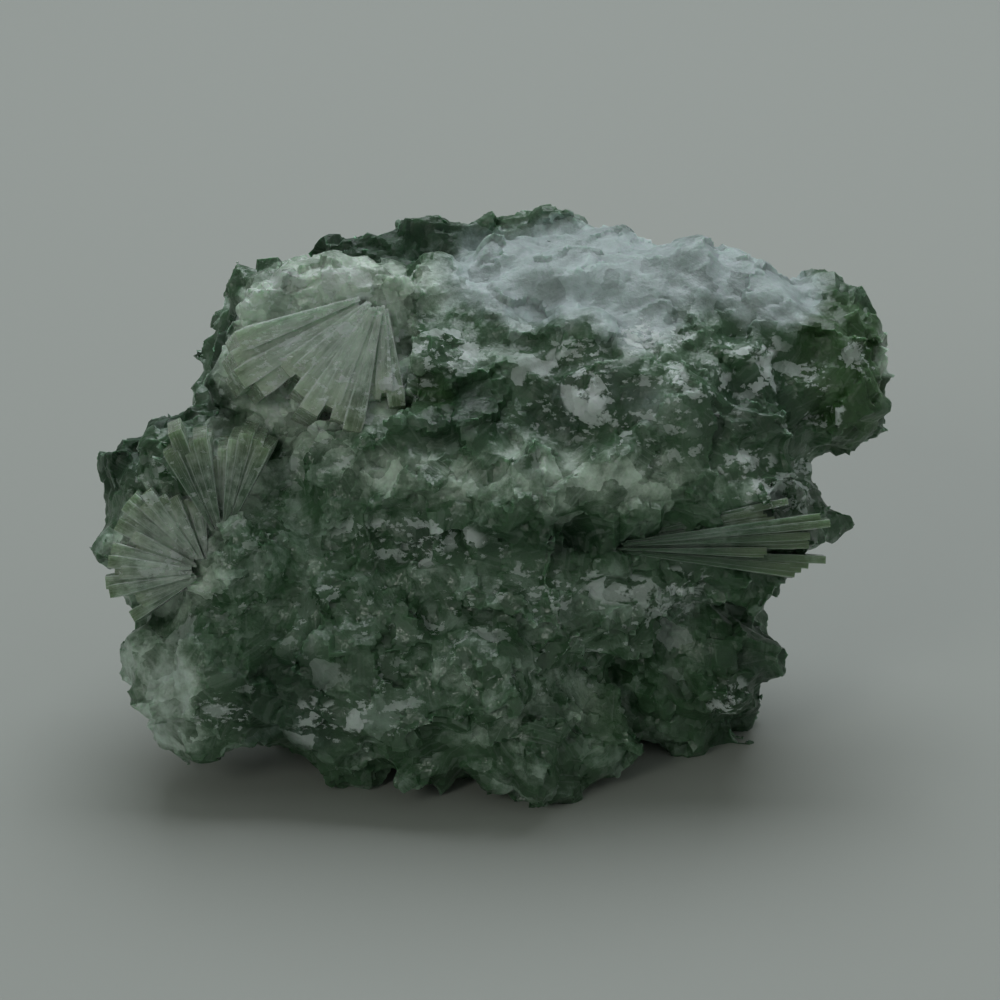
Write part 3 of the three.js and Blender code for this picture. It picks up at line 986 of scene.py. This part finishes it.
def even_out(mesh):
    """Draws each point toward the middle of its neighbours, most where it is milky."""
    points = mesh_rows(mesh, "co")
    ends = np.empty(2 * len(mesh.edges), dtype=int)
    mesh.edges.foreach_get("vertices", ends)
    one, other = np.concatenate([ends.reshape(-1, 2), ends.reshape(-1, 2)[:, ::-1]]).T
    neighbours = np.bincount(one, minlength=len(points))[:, None]
    milk = blot_strength(to_view(points), BLOTS["milk"])[:, None]
    share = LEAST_EVENED + (MOST_EVENED - LEAST_EVENED) * milk
    for _ in range(EVEN_STEPS):
        total = [np.bincount(one, points[other, axis], len(points)) for axis in range(3)]
        points += share * (np.stack(total, axis=1) / neighbours - points)
    mesh.vertices.foreach_set("co", points.ravel())
    mesh.update()


def raise_cells(mesh, cells):
    """Raises flat cells straight out of a skin, lower where it is milky."""
    points = mesh_rows(mesh, "co")
    places = to_view(points)
    lift = sum(cell_relief(places, *size) for size in cells)
    lift *= 1 - MILK_CALM * blot_strength(places, BLOTS["milk"])
    points = points + MM * mesh_rows(mesh, "normal") * (lift - SKIN_SUNK)[:, None]
    mesh.vertices.foreach_set("co", points.ravel())
    mesh.update()


even_out(mass_mesh)
raise_cells(mass_mesh, FINE_CELLS)
skin_places = to_view(mesh_rows(mass_mesh, "co"))
print("the skin's extent across, up and toward in mm:", np.round(np.ptp(skin_places, axis=0), 1))

# %% [markdown]
# ## The flat foot
# The lump rests on a small flat spot. Pressing every low point up to the floor would leave thin
# slivers there, and a Boolean would be slow on so many faces. The skin is cut by the plane of the
# floor instead, the cut is closed with one flat face, and any speck that the recast left loose is
# dropped. Edges that turn by more than 32 degrees stay sharp, and the rest are shaded smooth.

# %% Cut the foot and finish the body's mesh
CUT_MERGE = 0.001
CREASE = math.radians(32)


def largest_part(stone):
    """The points of the largest part that hangs together."""
    left = set(stone.verts)
    largest = set()
    while left:
        part, waiting = set(), [left.pop()]
        while waiting:
            point = waiting.pop()
            part.add(point)
            near = {edge.other_vert(point) for edge in point.link_edges} & left
            left -= near
            waiting.extend(near)
        largest = max(largest, part, key=len)
    return largest


def cut_foot(mesh):
    """Cuts off what is below the floor, closes the cut with a flat face and drops loose specks."""
    cut = bmesh.new()
    cut.from_mesh(mesh)
    parts = cut.verts[:] + cut.edges[:] + cut.faces[:]
    down = {"plane_co": (0, 0, 0), "plane_no": (0, 0, -1), "clear_outer": True}
    edges = bmesh.ops.bisect_plane(cut, geom=parts, dist=MM * CUT_MERGE, **down)["geom_cut"]
    bmesh.ops.edgenet_fill(cut, edges=[e for e in edges if isinstance(e, bmesh.types.BMEdge)])
    whole = largest_part(cut)
    bmesh.ops.delete(cut, geom=[v for v in cut.verts if v not in whole], context="VERTS")
    bmesh.ops.recalc_face_normals(cut, faces=cut.faces)
    cut.to_mesh(mesh)
    cut.free()


cut_foot(mass_mesh)
add_masks(mass_mesh)
mass_mesh.shade_smooth()
mass_mesh.set_sharp_from_angle(angle=CREASE)
mass = add_object("prehnite_mass", mass_mesh)
mass_mesh.materials.clear()
mass_mesh.materials.append(mass_finish)
print("faces of the body:", len(mass_mesh.polygons))

# %% [markdown]
# ## The stone's finish
# Prehnite is glassy where it is a clean crystal and chalky where it is crushed. Light enters it, is
# scattered by fine cracks and comes out green a millimetre or two away, which gives it its soft glow.
# Plain paint would look like plaster and clear glass would show through to the floor, so the shader
# scatters light below the surface. Its patterns start from grains: angular cells with jagged edges,
# each with its own random colour, which stand for the single crystals of the mass. Every pattern
# reads Object coordinates, a lath's comb or a mask, so it stays on the stone in any view.

# %% Grains of crystal
GRAIN_MM = 1.8
GRAIN_JAG_MM = 0.9
MID = (0.5, 0.5, 0.5)


def grains(tree, place, size, jag):
    """Angular grains of about this size with jagged edges, each with its own random colour."""
    edge = {"Vector": place, "Scale": 2 / size, "Detail": 3.0}
    bend = add_node(tree, "ShaderNodeTexNoise", edge).outputs["Color"]
    centred = add_node(tree, "ShaderNodeVectorMath", {0: bend, 1: MID}, operation="SUBTRACT")
    bent = {0: centred, 1: (jag, jag, jag), 2: place}
    moved = add_node(tree, "ShaderNodeVectorMath", bent, operation="MULTIPLY_ADD")
    return add_node(tree, "ShaderNodeTexVoronoi", {"Vector": moved, "Scale": 1 / size}).outputs["Color"]


print("grains in mm:", GRAIN_MM)

# %% [markdown]
# ## Colour in zones
# Under everything lies one green, veiled with grey where fine cracks are dense. Four of the masks lay
# their own colours over it. A plain mask would end in a smooth edge, as a spray can does, so noise
# pushes its edge to and fro. Last, the colour is lightened and darkened from grain to grain, since a
# clear grain looks dark beside a cracked one.

# %% The stone's greens and whites
GREEN = "4b6b4d"
VEIL = "94a698"
ZONES = [
    # mask, how far noise breaks its edge up, colour
    # the knob's deep green, and painted shade in hollows, under ledges, behind the fans and at the back
    ("deep", 1.2, "2a472f"),
    # the knob's moss green, and painted shade in a recess and low at the right
    ("moss_green_and_shade", 0.7, "3f5f38"),
    # pale blades, and a painted glow on the knob's rim
    ("pale", 0.9, "bfcfbe"),
    # milky white, and painted light on the top of the lump
    ("milk", 0.8, "b0bdbb"),
]


def zone(tree, mask, jag, spread):
    """Where a mask of the mesh lies, with its edge broken up by a noise."""
    shifted = add_node(tree, "ShaderNodeMath", {0: jag, 1: spread, 2: mask}, operation="MULTIPLY_ADD")
    edge = {"Value": shifted, "From Min": 0.3 + spread / 2, "From Max": 0.7 + spread / 2}
    return add_node(tree, "ShaderNodeMapRange", edge, interpolation_type="SMOOTHSTEP")


def stone_colour(tree, masks, broad, jagged):
    """Zones over a green that is veiled with fine cracks, lighter and darker by a jagged noise."""
    rich = add_node(tree, "ShaderNodeMath", {0: broad, 1: 0.8, 2: jagged}, operation="MULTIPLY_ADD")
    veil = {"Value": rich, "From Min": 0.9, "From Max": 1.15, "To Max": 0.65}
    veiled = {"Factor": add_node(tree, "ShaderNodeMapRange", veil), 6: linear(GREEN), 7: linear(VEIL)}
    green = add_node(tree, "ShaderNodeMix", veiled, data_type="RGBA").outputs[2]
    edge = add_node(tree, "ShaderNodeMath", {0: rich, 1: 0.55}, operation="MULTIPLY")
    for name, spread, colour in ZONES:
        here = {"Factor": zone(tree, masks[name], edge, spread), 6: green, 7: linear(colour)}
        green = add_node(tree, "ShaderNodeMix", here, data_type="RGBA").outputs[2]
    swing = add_node(tree, "ShaderNodeMapRange", {"Value": masks["milk"], "To Min": 1.1, "To Max": 1.0})
    centred = add_node(tree, "ShaderNodeMath", {0: jagged, 1: 0.5}, operation="SUBTRACT")
    light = add_node(tree, "ShaderNodeMath", {0: centred, 1: swing, 2: 1.0}, operation="MULTIPLY_ADD")
    return add_node(tree, "ShaderNodeVectorMath", {0: green, "Scale": light}, operation="SCALE")


print("zones of colour:", [name for name, _, _ in ZONES])

# %% [markdown]
# ## Chalk where crystals are crushed
# Crushed prehnite is white and dull. It lies as a few flakes, crumbs round them and dust at their
# edges, thick in the middle of a crushed spot and thin at its rim. Bits of one size would look like
# strewn salt. So grains of three sizes turn white wherever a grain's own random number is under the
# strength of the chalk mask, and a finer noise wears holes in them. Where the mask is thin, over the
# centre, the fans and the lower mass, and in the finest dust, the white specks are painted glints.

# %% Flakes, crumbs and dust
# white of the chalk, and of the glints painted as white specks
CHALK_AND_GLINT_WHITE = "dfe7e4"
FLAKE_SHARE = 0.6
CRUMBS_AND_GLINT_SPECKS = [
    # size and jaggedness in mm, and the share of the mask's strength that they take
    (0.8, 1.1, 0.6),
    # dust: chalk, and where the mask is thin, white specks painted as glints
    (0.26, 0.45, 0.5),
]
# how fast the crumbs' pattern runs along each axis, so that they lie a little flat
CRUMBS_DRAWN = (0.75, 1, 1.3)


def crust_and_glints(tree, mask, grain, share):
    """Where chalk or painted glints lie: on the grains whose own number is under this share of the mask's
    strength.
    """
    own = add_node(tree, "ShaderNodeSeparateColor", {0: grain})
    sparse = add_node(tree, "ShaderNodeMath", {0: mask, 1: share}, operation="MULTIPLY")
    over = add_node(tree, "ShaderNodeMath", {0: sparse, 1: own}, operation="SUBTRACT")
    covered = add_node(tree, "ShaderNodeMapRange", {"Value": over, "From Max": 0.04})
    rising = {"Value": mask, "From Max": 0.5, "To Min": 0.45, "To Max": 1.0}
    most = add_node(tree, "ShaderNodeMapRange", rising)
    varied = {"Value": own.outputs["Blue"], "To Min": 0.5, "To Max": most}
    thick = add_node(tree, "ShaderNodeMapRange", varied)
    return add_node(tree, "ShaderNodeMath", {0: covered, 1: thick}, operation="MULTIPLY")


def chalk_and_glint_cover(tree, mask, place, grain, fine):
    """How thickly chalk and painted glints cover the stone, from 0 to 1."""
    drawn = add_node(tree, "ShaderNodeVectorMath", {0: place, 1: CRUMBS_DRAWN}, operation="MULTIPLY")
    cover = crust_and_glints(tree, mask, grain, FLAKE_SHARE)
    for size_mm, jag_mm, share in CRUMBS_AND_GLINT_SPECKS:
        bits = crust_and_glints(tree, mask, grains(tree, drawn, MM * size_mm, MM * jag_mm), share)
        cover = add_node(tree, "ShaderNodeMath", {0: cover, 1: bits}, operation="MAXIMUM")
    holes = {"Value": fine, "From Min": 0.42, "From Max": 0.47, "To Max": 0.95}
    worn = add_node(tree, "ShaderNodeMapRange", holes)
    return add_node(tree, "ShaderNodeMath", {0: cover, 1: worn}, operation="MULTIPLY")


print("sizes of chalk in mm:", [GRAIN_MM] + [size_mm for size_mm, _, _ in CRUMBS_AND_GLINT_SPECKS])

# %% [markdown]
# ## Glints and growth lines
# Every grain has its cleavage planes at its own slope, so some flash while their neighbours stay
# dark, and fine growth lines run across each. Modelled, they would take millions of faces. Here the
# normal tips its own way in each grain, less where the stone is milky, and a stretched noise gives
# the lines, as shallow grooves and as white streaks. The white streaks are partly white growth lines
# and partly painted glints. On a blade they run along it, and in the mass they run each grain's own
# way. Blades are also greener at their ends and carry a painted highlight along their rims.

# %% Tipped grains, lines and blade ends
# white of the growth lines, which are partly painted glints, and of the painted highlight on blade rims
STREAK_AND_HIGHLIGHT_WHITE = "d3dfd7"
TIP_GREEN = "b9cb9c"
# The real growth lines are finer than the picture shows, so they are drawn as coarse as this.
LINE_MM = 0.13


def tipped_normal(tree, milk, grain, tip):
    """A normal that tips its own way in each grain, less where the stone is milky."""
    centred = add_node(tree, "ShaderNodeVectorMath", {0: grain, 1: MID}, operation="SUBTRACT")
    straight = add_node(tree, "ShaderNodeNewGeometry").outputs["Normal"]
    share = add_node(tree, "ShaderNodeMapRange", {"Value": milk, "To Min": tip, "To Max": 0.4 * tip})
    tipping = {0: centred, 1: share, 2: straight}
    tipped = add_node(tree, "ShaderNodeVectorMath", tipping, operation="MULTIPLY_ADD")
    return add_node(tree, "ShaderNodeVectorMath", {0: tipped}, operation="NORMALIZE")


def comb_place(tree, comb, broad, times):
    """A lath's own place, drawn out along it, that differs from lath to lath."""
    drift = add_node(tree, "ShaderNodeCombineXYZ", {2: broad})
    spread = {0: drift, 1: (0, 0, 5), 2: comb}
    apart = add_node(tree, "ShaderNodeVectorMath", spread, operation="MULTIPLY_ADD")
    return add_node(tree, "ShaderNodeVectorMath", {0: apart, 1: times}, operation="MULTIPLY")


def blade_lines(tree, comb, broad):
    """Growth lines along a blade, from 0 to 1."""
    drawn = comb_place(tree, comb, broad, (0.7, 11, 1))
    lines = {"Vector": drawn, "Scale": 1.0, "Detail": 4.0, "Roughness": 0.6}
    return add_node(tree, "ShaderNodeTexNoise", lines).outputs["Fac"]


def grain_lines(tree, place, grain, own):
    """Growth lines that run each grain's own way, from 0 to 1."""
    ways = add_node(tree, "ShaderNodeVectorMath", {0: grain, 1: MID}, operation="SUBTRACT")
    along = add_node(tree, "ShaderNodeVectorMath", {0: ways, 1: place}, operation="DOT_PRODUCT")
    across = add_node(tree, "ShaderNodeCombineXYZ", {0: along.outputs["Value"], 1: own})
    lines = {"Vector": across, "Scale": 1 / (MM * LINE_MM), "Detail": 2.0}
    return add_node(tree, "ShaderNodeTexNoise", lines).outputs["Fac"]


def blade_ends_and_rim_highlights(tree, comb, colour, rim_highlights):
    """A blade's colour with a greener end and a painted highlight along its rims."""
    along = add_node(tree, "ShaderNodeSeparateXYZ", {0: comb})
    end = {"Value": along, "From Min": 0.7, "From Max": 1.0, "To Max": 0.3}
    ended = {"Factor": add_node(tree, "ShaderNodeMapRange", end), 6: colour, 7: linear(TIP_GREEN)}
    greener = add_node(tree, "ShaderNodeMix", ended, data_type="RGBA").outputs[2]
    aside = add_node(tree, "ShaderNodeMath", {0: along.outputs["Y"]}, operation="ABSOLUTE")
    across = add_node(tree, "ShaderNodeMath", {0: aside, 1: along}, operation="DIVIDE")
    # painted highlight: the blade's rims are mixed toward white
    rim_highlight = {"Value": across, "From Min": 0.84, "From Max": 0.95, "To Max": rim_highlights}
    rim_highlighted = {"Factor": add_node(tree, "ShaderNodeMapRange", rim_highlight), 6: greener, 7: linear(STREAK_AND_HIGHLIGHT_WHITE)}
    return add_node(tree, "ShaderNodeMix", rim_highlighted, data_type="RGBA").outputs[2]


print("growth lines in mm:", LINE_MM)

# %% [markdown]
# ## Gloss, glow and two finishes
# The same stone shows two faces. The cleaved mass scatters light close under its skin and is satin,
# since no plane in it is large. A blade is one clean crystal: glossier, clearer and with a deeper
# glow. Two separate shaders could be built, but then a change to the green would have to be made
# twice, so one function fills both materials, with a few numbers that differ. Chalk is dull and lets
# little light in, and the stone's gloss is softer where it is deep in shade or milky.

# %% Fill both materials
PREHNITE_IOR = 1.63
MOTTLES = [
    # size in mm and detail of the broad, the fine and the rough noise
    (3.2, 2.0),
    (1.5, 5.0),
    (0.35, 2.0),
]
MOTTLE_ROUGHNESS = 0.66
CRUMBLE_MM = 0.12
GLOW_SPREAD = (0.75, 1.0, 0.8)


def dress_stone(material, roughness, scatter_mm, clear, tip, patchy, streaks_and_glints, groove_mm, combed):
    """Fills a material with the stone's colour, glow, grain and gloss."""
    material.use_nodes = True
    tree = material.node_tree
    tree.nodes.clear()
    place = add_node(tree, "ShaderNodeTexCoord").outputs["Object"]
    masks = {
        name: add_node(tree, "ShaderNodeAttribute", attribute_name=name).outputs["Fac"] for name in BLOTS
    }
    noises = [
        {"Vector": place, "Scale": 1 / (MM * size_mm), "Detail": detail, "Roughness": MOTTLE_ROUGHNESS}
        for size_mm, detail in MOTTLES
    ]
    broad, fine, rough = [add_node(tree, "ShaderNodeTexNoise", noise).outputs["Fac"] for noise in noises]
    grain = sheen = grains(tree, place, MM * GRAIN_MM, MM * GRAIN_JAG_MM)
    if combed:
        comb = add_node(tree, "ShaderNodeUVMap", uv_map="comb").outputs["UV"]
        sheen = grains(tree, comb_place(tree, comb, broad, (4, 3, 1)), 1.0, 0.6)
    own = add_node(tree, "ShaderNodeSeparateColor", {0: sheen}).outputs["Blue"]
    patch = add_node(tree, "ShaderNodeMath", {0: own, 1: patchy, 2: fine}, operation="MULTIPLY_ADD")
    jagged = add_node(tree, "ShaderNodeMath", {0: patch, 1: patchy / 2}, operation="SUBTRACT")

    lines = blade_lines(tree, comb, broad) if combed else grain_lines(tree, place, sheen, own)
    # white streaks along the lines: white growth lines and partly painted glints, strongest on the pale
    # blades
    shown = {"Value": masks["pale"], "To Min": streaks_and_glints[0], "To Max": streaks_and_glints[1]}
    strongest = add_node(tree, "ShaderNodeMapRange", shown)
    streak_and_glint = {"Value": lines, "From Min": 0.54, "From Max": 0.62, "To Max": strongest}
    streaked_and_glinted = {
        "Factor": add_node(tree, "ShaderNodeMapRange", streak_and_glint),
        6: stone_colour(tree, masks, broad, jagged),
        7: linear(STREAK_AND_HIGHLIGHT_WHITE),
    }
    colour = add_node(tree, "ShaderNodeMix", streaked_and_glinted, data_type="RGBA").outputs[2]
    if combed:
        colour = blade_ends_and_rim_highlights(tree, comb, colour, strongest)
    chalk_and_glints = chalk_and_glint_cover(tree, masks["chalk_and_glints"], place, grain, fine)
    chalked_and_glinted = {"Factor": chalk_and_glints, 6: colour, 7: linear(CHALK_AND_GLINT_WHITE)}

    tipped = tipped_normal(tree, masks["milk"], sheen, tip)
    height = add_node(tree, "ShaderNodeMath", {0: chalk_and_glints, 1: 0.8, 2: rough}, operation="MULTIPLY_ADD")
    crumbly = {"Strength": 0.7, "Distance": MM * CRUMBLE_MM, "Height": height, "Normal": tipped}
    crumbled = add_node(tree, "ShaderNodeBump", crumbly)
    groove = {"Strength": 0.6, "Distance": MM * groove_mm, "Height": lines, "Normal": crumbled}

    soft = add_node(tree, "ShaderNodeMath", {0: masks["deep"], 1: masks["milk"]}, operation="MAXIMUM")
    satin = {"Value": soft, "To Min": roughness, "To Max": 2 * roughness}
    dull = {"Value": chalk_and_glints, "To Min": add_node(tree, "ShaderNodeMapRange", satin), "To Max": 0.8}
    shine = {"Value": soft, "To Min": 0.5, "To Max": 0.2}
    glow = {"Value": chalk_and_glints, "To Min": 0.9, "To Max": 0.3}
    skin = add_node(
        tree,
        "ShaderNodeBsdfPrincipled",
        {
            "Base Color": add_node(tree, "ShaderNodeMix", chalked_and_glinted, data_type="RGBA").outputs[2],
            "Roughness": add_node(tree, "ShaderNodeMapRange", dull),
            "IOR": PREHNITE_IOR,
            "Specular IOR Level": add_node(tree, "ShaderNodeMapRange", shine),
            "Normal": add_node(tree, "ShaderNodeBump", groove),
            "Subsurface Weight": add_node(tree, "ShaderNodeMapRange", glow),
            "Subsurface Radius": GLOW_SPREAD,
            "Subsurface Scale": MM * scatter_mm,
            "Transmission Weight": clear,
        },
    )
    add_node(tree, "ShaderNodeOutputMaterial", {"Surface": skin})


# Prehnite that grew as a tight mass and was broken along its cleavage. It gives the eye a deep, cloudy
# green with satin glints that differ from grain to grain.
dress_stone(
    mass_finish,
    roughness=0.24,
    scatter_mm=0.55,
    clear=0.0,
    tip=0.45,
    patchy=0.26,
    streaks_and_glints=(0.06, 0.2),
    groove_mm=0.06,
    combed=False,
)
# Prehnite that grew freely into blades. It gives the eye a pale, watery glow, with a sharper shine on
# the flat faces, fine lines along the blades that are partly painted glints, and painted highlights
# along the rims.
dress_stone(
    crystal_finish,
    roughness=0.14,
    scatter_mm=1.1,
    clear=0.2,
    tip=0.35,
    patchy=0.1,
    streaks_and_glints=(0.2, 0.55),
    groove_mm=0.1,
    combed=True,
)
print("finishes:", mass_finish.name, crystal_finish.name)

# %% [markdown]
# ## Riding on the stone
# The stone doesn't move, so both pieces ride on its one body, and the mass stands in for the plain
# solid.

# %% Ride on the stone and hide the plain solid
for piece in (mass, fans):
    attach(piece, "root")
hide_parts("prehnite")
